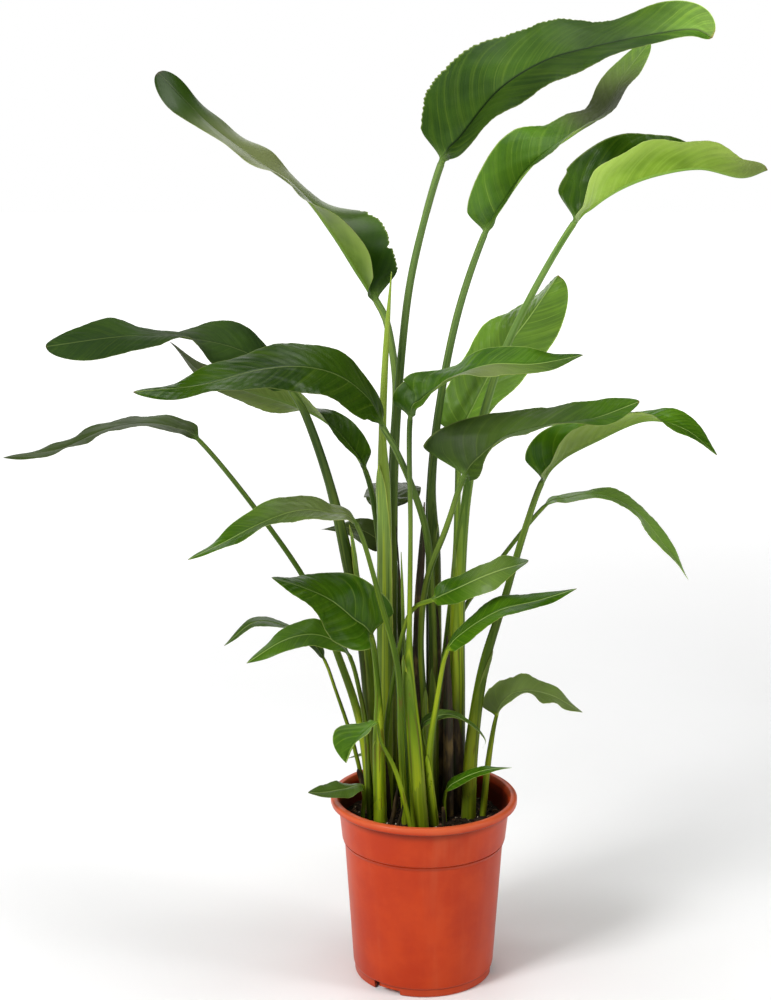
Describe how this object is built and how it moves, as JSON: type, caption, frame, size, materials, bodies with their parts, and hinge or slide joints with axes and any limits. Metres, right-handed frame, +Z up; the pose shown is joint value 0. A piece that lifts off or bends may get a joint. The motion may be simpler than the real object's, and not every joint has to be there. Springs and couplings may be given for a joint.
{
  "type": "potted bird of paradise",
  "caption": "Young bird of paradise plant with long-stalked paddle leaves in a round terracotta-coloured plastic nursery pot filled with soil.",
  "frame": {"origin": "the middle of the pot's underside, where the pot stands", "axes": "+Z up along the pot's axis; -Y towards the front, from which the fan of leaves is seen broadside; the fan spreads along X"},
  "size_m": [0.9393, 0.3901, 1.2203],
  "materials": {
    "pot_plastic": "satin terracotta-coloured moulded plastic",
    "soil": "loose dark potting soil",
    "leaf_green": "smooth leathery leaf, glossy above and paler beneath",
    "leaf_young_green": "smooth rolled young leaf",
    "sheath_brown": "dry papery sheath and cut stalk"
  },
  "bodies": {
    "root": {"pot": "pot_plastic", "soil": "soil", "leaf_01": "leaf_green", "leaf_02": "leaf_green", "leaf_03": "leaf_green", "leaf_04": "leaf_green", "leaf_05": "leaf_green", "leaf_06": "leaf_green", "leaf_07": "leaf_green", "leaf_08": "leaf_green", "leaf_09": "leaf_green", "leaf_10": "leaf_green", "leaf_11": "leaf_green", "leaf_12": "leaf_green", "leaf_13": "leaf_green", "leaf_14": "leaf_green", "leaf_15": "leaf_green", "leaf_16": "leaf_green", "leaf_17": "leaf_green", "leaf_18": "leaf_green", "leaf_19": "leaf_green", "leaf_20": "leaf_green", "leaf_21": "leaf_green", "leaf_22": "leaf_green", "leaf_23": "leaf_green", "leaf_24": "leaf_green", "leaf_25": "leaf_green", "leaf_26": "leaf_green", "leaf_27": "leaf_green", "rolled_leaf_1": "leaf_young_green", "rolled_leaf_2": "leaf_young_green", "dry_sheath_1": "sheath_brown", "dry_sheath_2": "sheath_brown", "dry_stalk": "sheath_brown", "cut_stalk_1": "sheath_brown", "cut_stalk_2": "sheath_brown", "cut_stalk_3": "sheath_brown"}
  },
  "joints": []
}
